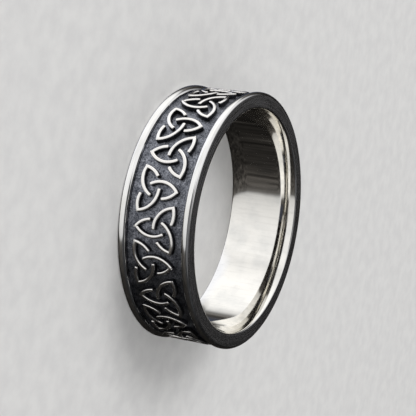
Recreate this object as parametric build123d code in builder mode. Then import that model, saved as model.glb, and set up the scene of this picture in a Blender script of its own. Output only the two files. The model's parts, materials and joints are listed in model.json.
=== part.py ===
from build123d import *
from math import asin, cos, degrees, pi, radians, sin
import os

# Finger ring, one solid. A band with a polished rim along each edge and a sunk channel
# between them, which holds a running row of raised three-cornered knots, point up and
# point down by turns. Millimetres. The ring lies on its side: axis +Z, side face on Z = 0.

# Band
bore_diameter = 19.0
band_width = 6.5
wall = 1.65

# Rims and channel
rim_outer_round = 0.3
rim_inner_round = 0.4
channel_depth = 0.52
channel_corner = 0.07

# Bore edges, eased so that the ring slides over a knuckle
ease_run = 1.75
ease_rise = 0.3
bore_edge_round = 0.08

# Knots
knot_sink = 0.1
knot_point_margin = 0.76
knot_base_margin = 0.86
knot_spacing = 0.9
arc_half_span = 82.0

# Strands of a knot
strand_width = 0.29
strand_edge_round = 0.07
gap_before_crossing = 0.5
gap_after_crossing = 0.39
end_bulge = 0.05
strand_root = 0.2

# Radii and heights of the band
bore_radius = bore_diameter / 2
crown_radius = bore_radius + wall
floor_radius = crown_radius - channel_depth
knot_radius = crown_radius - knot_sink
mid_height = band_width / 2
rim_width = rim_outer_round + rim_inner_round
channel_width = band_width - 2 * rim_width

# A knot spans the channel from its point to the two corners of its base, less the margins.
# Its three corners stand a third of a turn apart, corner_reach from its centre.
corner_count = 3
half_third = 180 / corner_count
half_strand = strand_width / 2
corner_reach = (channel_width - knot_point_margin - knot_base_margin) / (1 + cos(radians(half_third)))
centre_height = band_width - rim_width - knot_point_margin - corner_reach
tip_reach = corner_reach - half_strand / sin(radians(arc_half_span - half_third / 2))

# A strand runs from tip to tip along a circle that bulges past the knot's centre. Turns are
# degrees along that circle, from the middle of the bulge towards the tip that it starts at.
arc_radius = tip_reach * sin(radians(half_third)) / sin(radians(arc_half_span))
arc_offset = tip_reach * cos(radians(half_third)) + arc_radius * cos(radians(arc_half_span))
arc_centre = (arc_offset * cos(radians(half_third)), arc_offset * sin(radians(half_third)))
crossing_turn = arc_half_span - half_third
long_end = -crossing_turn + degrees((half_strand + gap_before_crossing) / arc_radius)
short_end = crossing_turn + degrees((half_strand + gap_after_crossing) / arc_radius)

# Neighbouring knots stand head to foot, with their facing sides knot_spacing apart
knot_pitch = (corner_reach + knot_spacing + centre_height - mid_height) / sin(radians(half_third))
knot_pairs = int(pi * knot_radius / knot_pitch)
half_pair_angle = 180 / knot_pairs


def strand_point(side, radius, turn):
    """Point of the left (1) or right (-1) strand at the knot's point, at this turn."""
    heading = radians(180 + half_third + turn)
    along = arc_centre[0] + radius * cos(heading)
    across = arc_centre[1] + radius * sin(heading)
    return (along, side * across)


def mitre_turn(radius):
    """Turn at which strand edges of this radius meet in the tip."""
    return 180 - half_third - degrees(asin(arc_centre[1] / radius))


# One corner of a knot: a long strand and a short one that meet in a mitred tip
with BuildSketch() as corner:
    with BuildLine():
        for side, end in ((1, long_end), (-1, short_end)):
            for radius in (arc_radius - half_strand, arc_radius + half_strand):
                tip = mitre_turn(radius)
                ThreePointArc(
                    strand_point(side, radius, tip),
                    strand_point(side, radius, (tip + end) / 2),
                    strand_point(side, radius, end),
                )
            ThreePointArc(
                strand_point(side, arc_radius - half_strand, end),
                strand_point(side, arc_radius, end - degrees(end_bulge / arc_radius)),
                strand_point(side, arc_radius + half_strand, end),
            )
    make_face()


def knot(height, up):
    """The knot at the front of the ring, pointing up (1) or down (-1)."""
    front = Plane(origin=(0, -crown_radius, height), x_dir=(0, 0, up), z_dir=(0, 1, 0))
    with BuildPart() as relief:
        with BuildSketch(front):
            with PolarLocations(0, corner_count):
                add(corner.sketch)
        extrude(amount=wall)
        with BuildSketch():
            Circle(knot_radius)
            Circle(floor_radius - strand_root, mode=Mode.SUBTRACT)
        extrude(amount=band_width, mode=Mode.INTERSECT)
        round_faces = relief.faces().filter_by(GeomType.CYLINDER)
        tops = round_faces.sort_by(lambda face: face.radius)[-corner_count:]
        sides = tops.edges().filter_by(lambda edge: edge.length > 2 * strand_width)
        fillet(sides, strand_edge_round)
    return relief.part


knot_up = knot(centre_height, 1)
knot_down = knot(band_width - centre_height, -1)

# Lower half of the band's section, as radius and height, then its mirror image. The rim is
# half round: an outer and an inner quarter circle that meet at the crown.
bore_mouth = (bore_radius + ease_rise, 0)
rim_outer_centre = (crown_radius - rim_outer_round, rim_outer_round)
rim_inner_centre = (crown_radius - rim_inner_round, rim_outer_round)
rim_foot = (floor_radius, rim_width)

with BuildPart() as ring_band:
    with BuildSketch(Plane.XZ) as section:
        with BuildLine():
            Polyline((floor_radius, mid_height), (bore_radius, mid_height), (bore_radius, ease_run))
            TangentArc((bore_radius, ease_run), bore_mouth, tangent=(0, -1))
            Line(bore_mouth, (crown_radius - rim_outer_round, 0))
            CenterArc(rim_outer_centre, rim_outer_round, start_angle=-90, arc_size=90)
            rim_inner = CenterArc(rim_inner_centre, rim_inner_round, start_angle=0, arc_size=90)
            Polyline(rim_inner @ 1, rim_foot, (floor_radius, mid_height))
        make_face()
        for point, radius in (
            (bore_mouth, bore_edge_round),
            (rim_foot, channel_corner),
        ):
            fillet(section.vertices().sort_by_distance(point)[0], radius)
        mirror(about=Plane.XZ.offset(-mid_height))
    revolve(axis=Axis.Z)
    with PolarLocations(0, knot_pairs):
        add(knot_up)
    with PolarLocations(0, knot_pairs, start_angle=half_pair_angle):
        add(knot_down)

os.makedirs("parts", exist_ok=True)
ring_band.part.label = "ring_band"
export_step(ring_band.part, "parts/ring_band.step")
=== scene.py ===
import json
from math import atan2, cos, degrees, pi, radians, sin

import bmesh
import bpy
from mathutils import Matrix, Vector

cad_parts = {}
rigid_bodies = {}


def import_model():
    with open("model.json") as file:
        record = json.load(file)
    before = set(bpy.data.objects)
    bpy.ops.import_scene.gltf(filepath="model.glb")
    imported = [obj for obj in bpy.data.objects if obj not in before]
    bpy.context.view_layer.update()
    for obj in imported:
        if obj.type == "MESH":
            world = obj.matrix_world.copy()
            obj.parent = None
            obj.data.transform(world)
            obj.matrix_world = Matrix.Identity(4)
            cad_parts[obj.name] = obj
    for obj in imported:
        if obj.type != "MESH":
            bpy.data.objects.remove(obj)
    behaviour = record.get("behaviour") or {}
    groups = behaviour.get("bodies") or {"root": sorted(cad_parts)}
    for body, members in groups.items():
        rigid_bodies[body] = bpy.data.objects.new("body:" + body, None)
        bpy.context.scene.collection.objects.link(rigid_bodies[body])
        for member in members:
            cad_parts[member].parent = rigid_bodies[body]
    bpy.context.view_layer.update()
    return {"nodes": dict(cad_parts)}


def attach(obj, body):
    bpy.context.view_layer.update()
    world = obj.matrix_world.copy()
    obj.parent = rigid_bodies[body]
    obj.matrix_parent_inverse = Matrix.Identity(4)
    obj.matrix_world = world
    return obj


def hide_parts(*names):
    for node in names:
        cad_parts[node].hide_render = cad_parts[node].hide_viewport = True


# A knot-patterned finger ring, lying on its side. In the dictionaries lengths are millimetres
# and angles are degrees. mm turns lengths into Blender's metres.
mm = 0.001
weldDistance = 0.0005
creaseAngle = 38  # sharper edges stay sharp in the shading

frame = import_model()
print("frame loaded:", ", ".join(sorted(frame["nodes"])))


def clearSelection():
    bpy.ops.object.select_all(action="DESELECT")


def selectOnly(piece):
    clearSelection()
    piece.select_set(True)
    bpy.context.view_layer.objects.active = piece


def editOn(mode="VERT"):
    bpy.ops.object.mode_set(mode="EDIT")
    bpy.ops.mesh.select_mode(type=mode)


def editOff():
    bpy.ops.object.mode_set(mode="OBJECT")


def pick(piece, kind, rule):
    # in edit mode, selects the verts, edges or faces that the rule accepts
    mesh = bmesh.from_edit_mesh(piece.data)
    for part in mesh.verts[:] + mesh.edges[:] + mesh.faces[:]:
        part.select_set(False)
    found = [part for part in getattr(mesh, kind) if rule(part)]
    for part in found:
        part.select_set(True)
    bmesh.update_edit_mesh(piece.data)
    return len(found)


def near(a, b, tolerance=0.004):
    return abs(a - b) < tolerance * mm


def weldAll():
    bpy.ops.mesh.select_all(action="SELECT")
    bpy.ops.mesh.remove_doubles(threshold=weldDistance * mm)


def tidyShell():
    # welds what lies together and turns every face outwards
    weldAll()
    bpy.ops.mesh.normals_make_consistent(inside=False)


def bakeModifier(piece, kind, **settings):
    bpy.context.view_layer.objects.active = piece
    modifier = piece.modifiers.new(kind.title(), kind)
    for name, value in settings.items():
        setattr(modifier, name, value)
    bpy.ops.object.modifier_apply(modifier=modifier.name)


def softClouds(name, size, depth=2):
    clouds = bpy.data.textures.new(name, "CLOUDS")
    clouds.noise_scale = size * mm
    clouds.noise_depth = depth
    return clouds


band = {
    "boreRadius": 9.5,
    "crownRadius": 11.15,
    "width": 6.5,
    "rimOuterRound": 0.3,
    "rimInnerRound": 0.4,
    "channelDepth": 0.52,
    "channelCorner": 0.07,
    "easeRun": 1.75,  # where the bore widens towards each mouth
    "easeRise": 0.3,
    "mouthRound": 0.08,
    "turnSteps": 384,
    "channelCuts": 12,  # points in half the section's straight runs
    "boreCuts": 8,
    "sideCuts": 5,
    "shortestRun": 0.3,  # what is shorter belongs to a rounding
    "waveSize": 3.0,
    "unevenness": 0.008,
}

floorRadius = band["crownRadius"] - band["channelDepth"]
rimWidth = band["rimOuterRound"] + band["rimInnerRound"]


def leanLength(drop, run):
    # how far back an arc starts that runs out over this drop and run
    return (drop * drop + run * run) / (2 * run)


def sectionCorners():
    # corners of the section's lower half, each its radius, height, rounding and segments
    easeLean = leanLength(band["easeRise"], band["easeRun"])
    return [
        (floorRadius, rimWidth, band["channelCorner"], 4),
        (band["crownRadius"], rimWidth, band["rimInnerRound"], 14),
        (band["crownRadius"], 0, band["rimOuterRound"], 12),
        (band["boreRadius"] + band["easeRise"], 0, band["mouthRound"], 3),
        (band["boreRadius"], band["easeRun"] - easeLean, easeLean - band["mouthRound"], 14),
    ]


def straightRun(edge, axis, value):
    # whether an edge of the section keeps to this value along x (0) or z (2)
    level = all(near(vert.co[axis], value * mm) for vert in edge.verts)
    return level and edge.calc_length() > band["shortestRun"] * mm


def makeBand():
    half = band["width"] / 2
    corners = sectionCorners()
    clearSelection()
    # a plane shrunk to one point, from which the section's outline is pulled corner by corner
    bpy.ops.mesh.primitive_plane_add(size=mm, location=(floorRadius * mm, 0, half * mm))
    piece = bpy.context.object
    piece.name = "ring_shank"
    bpy.ops.object.transform_apply(location=True, rotation=True, scale=True)
    editOn()
    bpy.ops.mesh.select_all(action="SELECT")
    bpy.ops.mesh.merge(type="CENTER")
    radius, height = floorRadius, half
    for nextRadius, nextHeight in [corner[:2] for corner in corners] + [(band["boreRadius"], half)]:
        step = ((nextRadius - radius) * mm, 0, (nextHeight - height) * mm)
        bpy.ops.mesh.extrude_vertices_move(TRANSFORM_OT_translate={"value": step})
        radius, height = nextRadius, nextHeight
    for radius, height, rounding, segments in corners:
        pick(piece, "verts", lambda v: near(v.co.x, radius * mm) and near(v.co.z, height * mm))
        bpy.ops.mesh.bevel(
            offset=rounding * mm, segments=segments, affect="VERTICES", clamp_overlap=False
        )
    # long straight runs get points for the slight unevenness
    straightRuns = (
        (0, floorRadius, band["channelCuts"]),
        (0, band["boreRadius"], band["boreCuts"]),
        (2, 0, band["sideCuts"]),
    )
    for axis, value, cuts in straightRuns:
        pick(piece, "edges", lambda e: straightRun(e, axis, value))
        bpy.ops.mesh.subdivide(number_cuts=cuts)
    # the upper half is the lower one turned over
    bpy.ops.mesh.select_all(action="SELECT")
    bpy.ops.mesh.duplicate()
    bpy.ops.transform.resize(value=(1, 1, -1), center_override=(0, 0, half * mm))
    weldAll()
    bpy.ops.mesh.spin(steps=band["turnSteps"], angle=2 * pi, center=(0, 0, 0), axis=(0, 0, 1))
    tidyShell()
    editOff()
    return piece


bandPiece = makeBand()
print("band:", len(bandPiece.data.polygons), "faces")


knot = {
    "sink": 0.1,  # below the rims' crowns
    "pointMargin": 0.76,  # from a knot's point and base to the rims
    "baseMargin": 0.86,
    "spacing": 0.9,  # between the facing sides of two knots
    "arcHalfSpan": 82.0,  # more makes the strands rounder
    "strandWidth": 0.29,
    "strandCrown": 0.075,
    "strandDepth": 0.385,
    "gapBeforeCrossing": 0.5,
    "gapAfterCrossing": 0.39,
    "endLength": 0.07,
    "endWidth": 0.5,  # share of the width that is left at a blunt end
    "endMiddle": 0.15,  # depth that the end narrows towards
    "endTurns": (30, 60, 80),
    "sectionPoints": 24,
    "degreesPerStep": 3.0,
    "overrun": 10.0,  # past the tip, before it is cut
    "lumpSize": 0.5,
    "unevenness": 0.012,
}

halfThird = 60  # half the turn from one corner of a knot to the next
knotRadius = band["crownRadius"] - knot["sink"]
channelWidth = band["width"] - 2 * rimWidth
halfStrand = knot["strandWidth"] / 2
knotReach = channelWidth - knot["pointMargin"] - knot["baseMargin"]
cornerReach = knotReach / (1 + cos(radians(halfThird)))
knotHeight = band["width"] - rimWidth - knot["pointMargin"] - cornerReach
tipReach = cornerReach - halfStrand / sin(radians(knot["arcHalfSpan"] - halfThird / 2))
# a strand runs along a circle round (arcAcross, arcAlong) from the knot's centre
arcRadius = tipReach * sin(radians(halfThird)) / sin(radians(knot["arcHalfSpan"]))
arcOffset = tipReach * cos(radians(halfThird)) + arcRadius * cos(radians(knot["arcHalfSpan"]))
arcAlong = arcOffset * cos(radians(halfThird))
arcAcross = arcOffset * sin(radians(halfThird))
crossingTurn = knot["arcHalfSpan"] - halfThird
longEnd = -crossingTurn + degrees((halfStrand + knot["gapBeforeCrossing"]) / arcRadius)
shortEnd = crossingTurn + degrees((halfStrand + knot["gapAfterCrossing"]) / arcRadius)
knotRise = cornerReach + knot["spacing"] + knotHeight - band["width"] / 2
knotPitch = knotRise / sin(radians(halfThird))
knotPairs = int(pi * knotRadius / knotPitch)


def strandHeading(turn):
    return radians(180 + halfThird + turn)


def strandPoint(side, turn, depth):
    # on a strand's middle line, at this turn of its arc and this far below its top
    across = arcAcross + arcRadius * sin(strandHeading(turn))
    along = arcAlong + arcRadius * cos(strandHeading(turn))
    return Vector((side * across, depth, along)) * mm


def addStrand(piece, side, endTurn):
    # one strand of a flat knot, from past its tip to its blunt end. The knot faces -Y, its
    # point is towards +Z, and y = 0 is the top of its strands. A side of -1 mirrors the strand.
    startTurn = knot["arcHalfSpan"] + knot["overrun"]
    start = strandPoint(side, startTurn, knot["strandCrown"])
    heading = strandHeading(startTurn)
    lean = atan2(-cos(heading), side * sin(heading))
    bpy.ops.mesh.select_all(action="DESELECT")
    bpy.ops.mesh.primitive_circle_add(
        vertices=knot["sectionPoints"],
        radius=halfStrand * mm,
        location=start,
        rotation=(0, lean, 0),
    )
    # flattened to a low crown, and its inner half pushed down to the strand's root
    bpy.ops.transform.resize(value=(1, knot["strandCrown"] / halfStrand, 1), center_override=start)
    mesh = bmesh.from_edit_mesh(piece.data)
    for vert in mesh.verts:
        vert.select_set(vert.select and vert.co.y > start.y + weldDistance * mm)
    bmesh.update_edit_mesh(piece.data)
    bpy.ops.transform.translate(value=(0, knot["strandDepth"] * mm, 0))
    bpy.ops.mesh.select_linked()
    bpy.ops.mesh.spin(
        steps=round((startTurn - endTurn) / knot["degreesPerStep"]),
        angle=side * radians(startTurn - endTurn),
        center=Vector((side * arcAcross, 0, arcAlong)) * mm,
        axis=(0, 1, 0),
        use_auto_merge=False,
    )
    # blunt end, its edge rounded in a few short steps
    heading = strandHeading(endTurn)
    ahead = Vector((-side * cos(heading), 0, sin(heading))) * knot["endLength"] * mm
    endPoint = strandPoint(side, endTurn, knot["endMiddle"])
    reached, shrunk = 0, 1
    for turn in knot["endTurns"]:
        reach = sin(radians(turn))
        shrink = knot["endWidth"] + (1 - knot["endWidth"]) * cos(radians(turn))
        step = ahead * (reach - reached)
        endPoint += step
        bpy.ops.mesh.extrude_region_move(TRANSFORM_OT_translate={"value": step})
        bpy.ops.transform.resize(value=(shrink / shrunk,) * 3, center_override=endPoint)
        reached, shrunk = reach, shrink
    bpy.ops.mesh.edge_face_add()
    # what runs past the knot's middle plane is cut off, which mitres the tip
    bpy.ops.mesh.select_linked()
    bpy.ops.mesh.bisect(plane_co=(0, 0, 0), plane_no=(side, 0, 0), clear_outer=True)


def makeKnot():
    clearSelection()
    bpy.ops.mesh.primitive_plane_add(size=mm)
    piece = bpy.context.object
    piece.name = "knot_pattern"
    editOn()
    bpy.ops.mesh.delete(type="VERT")
    addStrand(piece, 1, longEnd)
    addStrand(piece, -1, shortEnd)
    tidyShell()
    bpy.ops.mesh.select_all(action="SELECT")
    for copy in range(2):
        bpy.ops.mesh.duplicate()
        bpy.ops.transform.rotate(
            value=radians(2 * halfThird), orient_axis="Y", center_override=(0, 0, 0)
        )
    editOff()
    return piece


knotPattern = makeKnot()
knotSize = tuple(round(length / mm, 3) for length in knotPattern.dimensions)
print("knot:", len(knotPattern.data.polygons), "faces,", knotSize)


def placeKnot(name, turn, height, upright):
    selectOnly(knotPattern)
    bpy.ops.object.duplicate(linked=False)
    piece = bpy.context.object
    piece.name = name
    piece.data.name = name
    if not upright:
        piece.rotation_euler = (0, pi, 0)
        bpy.ops.object.transform_apply(location=False, rotation=True, scale=False)
    # bent round the band, then moved out to it and turned to its place
    bend = piece.dimensions.x / (knotRadius * mm)
    bakeModifier(piece, "SIMPLE_DEFORM", deform_method="BEND", deform_axis="Z", angle=bend)
    piece.location = (0, -knotRadius * mm, height * mm)
    bpy.ops.object.transform_apply(location=True, rotation=False, scale=False)
    piece.rotation_euler = (0, 0, radians(turn))
    bpy.ops.object.transform_apply(location=False, rotation=True, scale=False)
    return piece


knotPieces = []
for pair in range(knotPairs):
    turn = 360 * pair / knotPairs
    knotPieces.append(placeKnot(f"knot_up_{pair + 1:02d}", turn, knotHeight, True))
    turn += 180 / knotPairs
    lowHeight = band["width"] - knotHeight
    knotPieces.append(placeKnot(f"knot_down_{pair + 1:02d}", turn, lowHeight, False))
bpy.data.objects.remove(knotPattern)
print("knots placed:", len(knotPieces))

# a cast piece is never quite even
shankWaves = softClouds("shankWaves", band["waveSize"])
knotLumps = softClouds("knotLumps", knot["lumpSize"])
castPieces = [(bandPiece, shankWaves, band["unevenness"])]
castPieces += [(piece, knotLumps, knot["unevenness"]) for piece in knotPieces]
for piece, clouds, amount in castPieces:
    bakeModifier(
        piece, "DISPLACE",
        texture=clouds, texture_coords="LOCAL", mid_level=0.5, strength=amount * mm,
    )
    selectOnly(piece)
    bpy.ops.object.shade_smooth_by_angle(angle=radians(creaseAngle))


def newMaterial(name):
    material = bpy.data.materials.new(name)
    material.use_nodes = True
    return material, material.node_tree, material.node_tree.nodes["Principled BSDF"]


def addNode(tree, kind, inputs=None, **settings):
    # inputs are values, or sockets of other nodes to link from
    node = tree.nodes.new(kind)
    for name, value in settings.items():
        setattr(node, name, value)
    for name, value in (inputs or {}).items():
        if isinstance(value, bpy.types.NodeSocket):
            tree.links.new(value, node.inputs[name])
        else:
            node.inputs[name].default_value = value
    return node


def addMath(tree, operation, first, second):
    node = addNode(tree, "ShaderNodeMath", {0: first, 1: second}, operation=operation)
    return node.outputs[0]


def addVectorMath(tree, operation, first, second):
    node = addNode(tree, "ShaderNodeVectorMath", {0: first, 1: second}, operation=operation)
    return node.outputs["Value" if operation == "DOT_PRODUCT" else "Vector"]


def scaleVector(tree, vector, scale):
    inputs = {0: vector, "Scale": scale}
    return addNode(tree, "ShaderNodeVectorMath", inputs, operation="SCALE").outputs[0]


def objectPlace(tree):
    return addNode(tree, "ShaderNodeTexCoord").outputs["Object"]


def radiusFromAxis(tree, place):
    flat = addVectorMath(tree, "MULTIPLY", place, (1, 1, 0))
    return addNode(tree, "ShaderNodeVectorMath", {0: flat}, operation="LENGTH").outputs["Value"]


def spread(tree, value, span, toLow=0.0, toHigh=1.0):
    # the value's span from one number to another, stretched to toLow and toHigh
    inputs = {"From Min": span[0], "From Max": span[1], "To Min": toLow, "To Max": toHigh}
    return addNode(tree, "ShaderNodeMapRange", {"Value": value, **inputs}).outputs["Result"]


def noise(tree, place, detail=3.0, roughness=0.5):
    inputs = {"Vector": place, "Scale": 1.0, "Detail": detail, "Roughness": roughness}
    return addNode(tree, "ShaderNodeTexNoise", inputs).outputs["Fac"]


def noiseAt(tree, place, size, detail=3.0, roughness=0.5):
    scaled = addVectorMath(tree, "MULTIPLY", place, (1 / (size * mm),) * 3)
    return noise(tree, scaled, detail, roughness)


def stretchedPlace(tree, place, finish, radialShare=0.7):
    # place scaled for a finish's marks, which run round the ring or along its axis
    across, down = 1 / (finish["markWidth"] * mm), 1 / (finish["markLength"] * mm)
    if finish["markAlong"] == "axis":
        return addVectorMath(tree, "MULTIPLY", place, (across, across, down))
    flat = addVectorMath(tree, "MULTIPLY", place, (down, down, across))
    lift = addMath(tree, "MULTIPLY", radiusFromAxis(tree, place), across * radialShare)
    rise = addNode(tree, "ShaderNodeCombineXYZ", {"Z": lift}).outputs[0]
    return addVectorMath(tree, "ADD", flat, rise)


def mixColor(tree, share, first, second):
    # each colour is a socket or three numbers. The mix node's colours are its inputs 6 and 7.
    inputs = {0: share}
    for place, color in ((6, first), (7, second)):
        inputs[place] = color + (1,) if isinstance(color, tuple) else color
    return addNode(tree, "ShaderNodeMix", inputs, data_type="RGBA").outputs[2]


def bump(tree, height, depth):
    inputs = {"Height": height, "Strength": 1.0, "Distance": depth * mm}
    return addNode(tree, "ShaderNodeBump", inputs).outputs["Normal"]


def linkMetal(tree, shader, color, roughness, normal):
    tree.links.new(color, shader.inputs["Base Color"])
    tree.links.new(roughness, shader.inputs["Roughness"])
    tree.links.new(normal, shader.inputs["Normal"])
    shader.inputs["Metallic"].default_value = 1.0


# the parts of the noise over which tarnish, streaks and roughness come in
tarnishSpan = (0.45, 0.75)
streakSpan = (0.5, 0.75)
roughSpan = (0.3, 0.75)

polish = {
    "color": (0.91, 0.905, 0.89),
    "tarnishColor": (0.85, 0.84, 0.81),
    "markColor": (0.62, 0.60, 0.58),
    "markDarkness": 0.35,
    "markWidth": 0.05,
    "markLength": 2.5,
    "markAlong": "round",
    "markDepth": 0.0006,
    "cloudSize": 1.5,
    "roughness": 0.035,
    "markRoughness": 0.1,
}

sideBrush = {
    "color": (0.6, 0.59, 0.595),
    "tarnishColor": (0.50, 0.49, 0.49),
    "markColor": (0.30, 0.30, 0.31),
    "markDarkness": 0.6,
    "markWidth": 0.08,
    "markLength": 3.0,
    "markAlong": "round",
    "markDepth": 0.003,
    "cloudSize": 1.2,
    "roughness": 0.2,
    "markRoughness": 0.32,
}

borePolish = {
    "color": (0.92, 0.90, 0.855),
    "tarnishColor": (0.77, 0.765, 0.74),
    "markColor": (0.55, 0.53, 0.50),
    "markDarkness": 0.17,
    "markWidth": 0.25,
    "markLength": 3.5,
    "markAlong": "axis",
    "markDepth": 0.0006,
    "cloudSize": 2.0,
    "roughness": 0.035,
    "markRoughness": 0.1,
}


def silver(name, finish):
    # polished or brushed silver with fine marks along one direction and a cloudy tarnish
    material, tree, shader = newMaterial(name)
    place = objectPlace(tree)
    marks = noise(tree, stretchedPlace(tree, place, finish))
    tarnish = spread(tree, noiseAt(tree, place, finish["cloudSize"]), tarnishSpan)
    color = mixColor(tree, tarnish, finish["color"], finish["tarnishColor"])
    streaks = spread(tree, marks, streakSpan, 0.0, finish["markDarkness"])
    color = mixColor(tree, streaks, color, finish["markColor"])
    rough = spread(tree, marks, roughSpan, finish["roughness"], finish["markRoughness"])
    linkMetal(tree, shader, color, rough, bump(tree, marks, finish["markDepth"]))
    return material


channelOxide = {
    "color": (0.29, 0.303, 0.34),
    "deepColor": (0.05, 0.054, 0.068),
    "speckColor": (0.5, 0.51, 0.57),
    "colorSpan": (0.36, 0.62),
    "speckSpan": (0.6, 0.74),
    "grainSize": 0.12,
    "grainDetail": 4.0,
    "grainRoughness": 0.65,
    "grainDepth": 0.04,
    "patchSize": 0.5,
    "patchSpan": (0.35, 0.65),
    "patchShare": 0.07,  # how far patches shift the grain towards light or dark
    "roughness": 0.28,
    "patchRoughness": 0.38,
    "roughSpan": (0.3, 0.7),
    # the crevice colour is partly oxide in the hollows and partly painted shade, laid where the
    # ambient occlusion finds corners
    "creviceOxideShadeColor": (0.012, 0.012, 0.013),
    "creviceReach": 0.13,
    "creviceSpan": (0.85, 0.4),  # from open to hidden
    "creviceSamples": 8,
    "pastRim": 0.03,  # how far the finish goes past the channel's edges, walls and floor
    "upWall": 0.05,
    "underFloor": 0.2,
}


def oxidisedChannel(finish):
    # blasted grain with light specks, in slow patches, and dark in the corners: oxide in the
    # hollows together with painted shade from ambient occlusion
    material, tree, shader = newMaterial("channelOxide")
    place = objectPlace(tree)
    grain = noiseAt(
        tree, place, finish["grainSize"], finish["grainDetail"], finish["grainRoughness"]
    )
    patches = noiseAt(tree, place, finish["patchSize"])
    shift = spread(tree, patches, finish["patchSpan"], -finish["patchShare"], finish["patchShare"])
    tone = addMath(tree, "ADD", grain, shift)
    light = spread(tree, tone, finish["colorSpan"])
    color = mixColor(tree, light, finish["deepColor"], finish["color"])
    color = mixColor(tree, spread(tree, tone, finish["speckSpan"]), color, finish["speckColor"])
    # painted shade and oxide: ambient occlusion darkens the floor beside the strands and rim walls,
    # standing for their shadow as well as the oxide there
    reach = finish["creviceReach"] * mm
    crevice = addNode(tree, "ShaderNodeAmbientOcclusion", {"Distance": reach})
    crevice.samples = finish["creviceSamples"]
    hidden = spread(tree, crevice.outputs["AO"], finish["creviceSpan"])
    color = mixColor(tree, hidden, color, finish["creviceOxideShadeColor"])
    rough = spread(
        tree, patches, finish["roughSpan"], finish["roughness"], finish["patchRoughness"]
    )
    linkMetal(tree, shader, color, rough, bump(tree, grain, finish["grainDepth"]))
    return material


knotPolish = {
    "color": (0.93, 0.91, 0.88),
    "oxideColor": (0.05, 0.05, 0.055),
    "oxideFrom": 0.15,  # below the strand's top
    "oxideTo": 0.055,
    "mottleSize": 0.12,
    "mottleSpan": (0.3, 0.7),
    "mottleReach": 0.03,  # how far the oxide's edge wanders up and down
    "roughness": 0.12,
    "oxideRoughness": 0.5,
    "lumpSize": 0.16,
    "lumpDepth": 0.004,
}


def polishedKnot(finish):
    # dark flanks, and tops that were polished bright again
    material, tree, shader = newMaterial("knotSilver")
    place = objectPlace(tree)
    reach = finish["mottleReach"] * mm
    mottle = noiseAt(tree, place, finish["mottleSize"])
    wobble = spread(tree, mottle, finish["mottleSpan"], -reach, reach)
    radius = addMath(tree, "ADD", radiusFromAxis(tree, place), wobble)
    flank = [(knotRadius - finish[depth]) * mm for depth in ("oxideFrom", "oxideTo")]
    clean = spread(tree, radius, flank)
    color = mixColor(tree, clean, finish["oxideColor"], finish["color"])
    rough = spread(tree, clean, (0.0, 1.0), finish["oxideRoughness"], finish["roughness"])
    lumps = noiseAt(tree, place, finish["lumpSize"])
    linkMetal(tree, shader, color, rough, bump(tree, lumps, finish["lumpDepth"]))
    return material


def inChannel(face):
    middle = face.calc_center_median()
    edge = rimWidth - channelOxide["pastRim"]
    lip = band["crownRadius"] - band["rimInnerRound"] + channelOxide["upWall"]
    base = floorRadius - channelOxide["underFloor"]
    across = edge * mm < middle.z < (band["width"] - edge) * mm
    return across and base * mm < middle.xy.length < lip * mm


def inBore(face):
    middle = face.calc_center_median()
    return middle.xy.length < (band["boreRadius"] + band["easeRise"]) * mm


def onSide(face, flatness=0.995):
    return abs(face.normal.z) > flatness


def dressBand():
    bandPiece.data.materials.append(silver("rimSilver", polish))
    selectOnly(bandPiece)
    editOn("FACE")
    dressed = (
        (silver("sideSilver", sideBrush), onSide),
        (silver("boreSilver", borePolish), inBore),
        (oxidisedChannel(channelOxide), inChannel),
    )
    for slot, (material, rule) in enumerate(dressed, start=1):
        bandPiece.data.materials.append(material)
        found = pick(bandPiece, "faces", rule)
        bandPiece.active_material_index = slot
        bpy.ops.object.material_slot_assign()
        print("  ", material.name, "on", found, "faces")
    editOff()


dressBand()
knotSilver = polishedKnot(knotPolish)
for piece in knotPieces:
    piece.data.materials.append(knotSilver)
print("materials done")

stage = {
    "floorSize": 4000,
    "floorCuts": 3,
    "floorColor": (0.80, 0.795, 0.785),
    "floorShade": (0.74, 0.735, 0.73),
    "fleckSize": 1.6,
    "fleckDetail": 5.0,
    "fleckSpan": (0.35, 0.65),
    "grainSize": 0.25,
    "grainDepth": 0.01,
    "roughness": 0.85,
}


def makeFloor():
    clearSelection()
    bpy.ops.mesh.primitive_plane_add(size=stage["floorSize"] * mm)
    floor = bpy.context.object
    floor.name = "studio_floor"
    editOn()
    bpy.ops.mesh.subdivide(number_cuts=stage["floorCuts"])
    editOff()
    material, tree, shader = newMaterial("paleFloor")
    place = objectPlace(tree)
    flecks = noiseAt(tree, place, stage["fleckSize"], stage["fleckDetail"])
    grain = noiseAt(tree, place, stage["grainSize"])
    shade = spread(tree, flecks, stage["fleckSpan"])
    color = mixColor(tree, shade, stage["floorColor"], stage["floorShade"])
    tree.links.new(color, shader.inputs["Base Color"])
    tree.links.new(bump(tree, grain, stage["grainDepth"]), shader.inputs["Normal"])
    shader.inputs["Roughness"].default_value = stage["roughness"]
    floor.data.materials.append(material)
    floor.visible_glossy = False


makeFloor()

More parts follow.
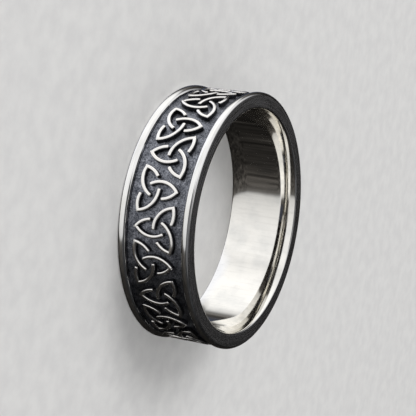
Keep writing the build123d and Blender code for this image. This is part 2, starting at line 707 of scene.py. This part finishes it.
# What the metal reflects: a dark, grainy room with one wall lit, soft light panels overhead,
# behind and low on the left, and one faint bluish corner. Headings are turned from +X towards
# +Y, and heights are above the level. The floor and the lamp aren't in it.
room = {
    "lowColor": (1.0, 0.93, 0.86),
    "highColor": (0.92, 0.95, 1.0),
    "tintSpan": (0.3, 0.6),
    "dark": 0.035,
    "darkSpan": (0.25, 0.05),  # brightness over which grain and tint come in
    "grainSize": 0.07,
    "grainDetail": 4.0,
    "grainRoughness": 0.7,
    "grainSpan": (0.35, 0.65),
    "grain": 0.75,
    "fleckSpan": (0.66, 0.74),
    "fleckLight": 0.16,
    "paleLight": (0.62, 0.62, 0.62),  # the light on all that isn't metal
}
wall = {
    "high": 42,
    "blur": 4,
    # how bright the wall is at each heading
    "glow": {
        181: 1.14, 206: 1.14, 219: 1.04, 232: 0.90, 245: 1.04, 257: 0.96, 270: 0.94, 283: 0.84,
        297: 0.74, 307: 0.60, 311: 0.13, 317: 0.075, 333: 0.042, 346: 0.024, 20: 0.017, 48: 0.010,
        109: 0.012, 127: 0.025, 139: 0.05, 146: 0.10, 152: 0.19, 158: 0.78, 167: 1.12, 176: 1.14,
    },
}
# the blurs are those of a panel's two ends and of its lower and upper edge
panels = {
    "zenith": {
        "color": (0.19, 0.19, 0.2),
        "headings": (0, 360), "heights": (64, 90), "blurs": (0, 4),
    },
    "backSide": {
        "color": (0.72, 0.72, 0.73),
        "headings": (97, 150), "heights": (38, 70), "blurs": (6, 4),
    },
    "backLow": {
        "color": (0.58, 0.58, 0.6),
        "headings": (116, 158), "heights": (26, 48), "blurs": (6, 5),
    },
    "backTop": {
        "color": (0.95, 0.95, 0.96),
        "headings": (130, 248), "heights": (28, 79), "blurs": (8, 8),
    },
    "leftLow": {
        "color": (1.05, 1.07, 1.14),
        "headings": (130, 226), "heights": (-86, -40), "blurs": (14, 6),
    },
    "blueCorner": {
        "color": (0.055, 0.063, 0.088),
        "headings": (110, 138), "heights": (-48, -8), "blurs": (6, 5),
    },
}


def sines(*angles):
    return [sin(radians(angle)) for angle in angles]


def cosines(*angles):
    return [cos(radians(angle)) for angle in angles]


def panelShare(tree, flat, height, panel):
    # how much of a panel is seen in a direction, from its level part and its height
    blurEnd, blurEdge = panel["blurs"]
    low, high = panel["heights"]
    share = spread(tree, height, sines(low - blurEdge, low + blurEdge))
    if high < 90:
        under = spread(tree, height, sines(high + blurEdge, high - blurEdge))
        share = addMath(tree, "MULTIPLY", share, under)
    start, end = panel["headings"]
    middle, half = (start + end) / 2, (end - start) / 2
    if half < 180:
        facing = addVectorMath(tree, "DOT_PRODUCT", flat, (*cosines(middle), *sines(middle), 0))
        beside = spread(tree, facing, cosines(half + blurEnd, half - blurEnd))
        share = addMath(tree, "MULTIPLY", share, beside)
    return share


def wallLight(tree, direction):
    parts = addNode(tree, "ShaderNodeSeparateXYZ", {0: direction})
    heading = addMath(tree, "ARCTAN2", parts.outputs["Y"], parts.outputs["X"])
    ramp = addNode(tree, "ShaderNodeValToRGB", {"Fac": spread(tree, heading, (-pi, pi))})
    stops = sorted(((heading + 180) % 360 / 360, glow) for heading, glow in wall["glow"].items())
    elements = ramp.color_ramp.elements
    elements.remove(elements[1])
    elements[0].position, elements[0].color = stops[0][0], (stops[0][1],) * 3 + (1,)
    for place, glow in stops[1:]:
        elements.new(place).color = (glow,) * 3 + (1,)
    return ramp.outputs["Color"]


def makeRoom():
    world = bpy.data.worlds.new("studio")
    world.use_nodes = True
    bpy.context.scene.world = world
    tree = world.node_tree
    direction = addNode(tree, "ShaderNodeTexCoord").outputs["Generated"]
    height = addNode(tree, "ShaderNodeSeparateXYZ", {0: direction}).outputs["Z"]
    flat = addVectorMath(tree, "MULTIPLY", direction, (1, 1, 0))
    flat = addNode(tree, "ShaderNodeVectorMath", {0: flat}, operation="NORMALIZE").outputs[0]
    below = spread(tree, height, sines(wall["high"] + wall["blur"], wall["high"] - wall["blur"]))
    seen = mixColor(tree, below, (room["dark"],) * 3, wallLight(tree, direction))
    # grain, flecks and tint that show in the dark part only
    darkness = spread(tree, seen, room["darkSpan"])
    scaled = scaleVector(tree, direction, 1 / room["grainSize"])
    grain = noise(tree, scaled, room["grainDetail"], room["grainRoughness"])
    shade = spread(tree, grain, room["grainSpan"], 1 - room["grain"], 1 + room["grain"])
    shade = addNode(tree, "ShaderNodeMix", {0: darkness, 2: 1.0, 3: shade}).outputs[0]
    seen = scaleVector(tree, seen, shade)
    fleck = spread(tree, grain, room["fleckSpan"], 0.0, room["fleckLight"])
    seen = addVectorMath(tree, "ADD", seen, addMath(tree, "MULTIPLY", fleck, darkness))
    upward = spread(tree, height, room["tintSpan"])
    tint = mixColor(tree, upward, room["lowColor"], room["highColor"])
    tint = mixColor(tree, darkness, (1.0, 1.0, 1.0), tint)
    seen = addVectorMath(tree, "MULTIPLY", seen, tint)
    for panel in panels.values():
        seen = mixColor(tree, panelShare(tree, flat, height, panel), seen, panel["color"])
    glossy = addNode(tree, "ShaderNodeLightPath").outputs["Is Glossy Ray"]
    light = mixColor(tree, glossy, room["paleLight"], seen)
    tree.links.new(light, tree.nodes["Background"].inputs["Color"])


makeRoom()

lamp = {"power": 2.6, "size": 500, "place": (-560, -180, 620)}
lampLight = bpy.data.lights.new("softLamp", "AREA")
lampLight.energy = lamp["power"]
lampLight.shape = "DISK"
lampLight.size = lamp["size"] * mm
lampObject = bpy.data.objects.new("softLamp", lampLight)
bpy.context.scene.collection.objects.link(lampObject)
lampObject.location = Vector(lamp["place"]) * mm
lampObject.rotation_euler = (-lampObject.location).to_track_quat("-Z", "Y").to_euler()
lampObject.visible_glossy = False

view = {
    "place": (14.655, -114.194, 59.795),
    "turn": (-16.7586, -62.2488, 116.4145),
    "lens": 127.493,
    "nearest": 10,
    "farthest": 10000,
}
camera = bpy.data.objects.new("camera", bpy.data.cameras.new("camera"))
bpy.context.scene.collection.objects.link(camera)
camera.location = Vector(view["place"]) * mm
camera.rotation_euler = [radians(angle) for angle in view["turn"]]
camera.data.lens = view["lens"]
camera.data.clip_start = view["nearest"] * mm
camera.data.clip_end = view["farthest"] * mm
bpy.context.scene.camera = camera
bpy.context.scene.view_settings.view_transform = "Standard"
print("studio ready")

for piece in [bandPiece] + knotPieces:
    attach(piece, "root")
    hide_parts("ring_band")
print("pieces on the body root:", 1 + len(knotPieces))
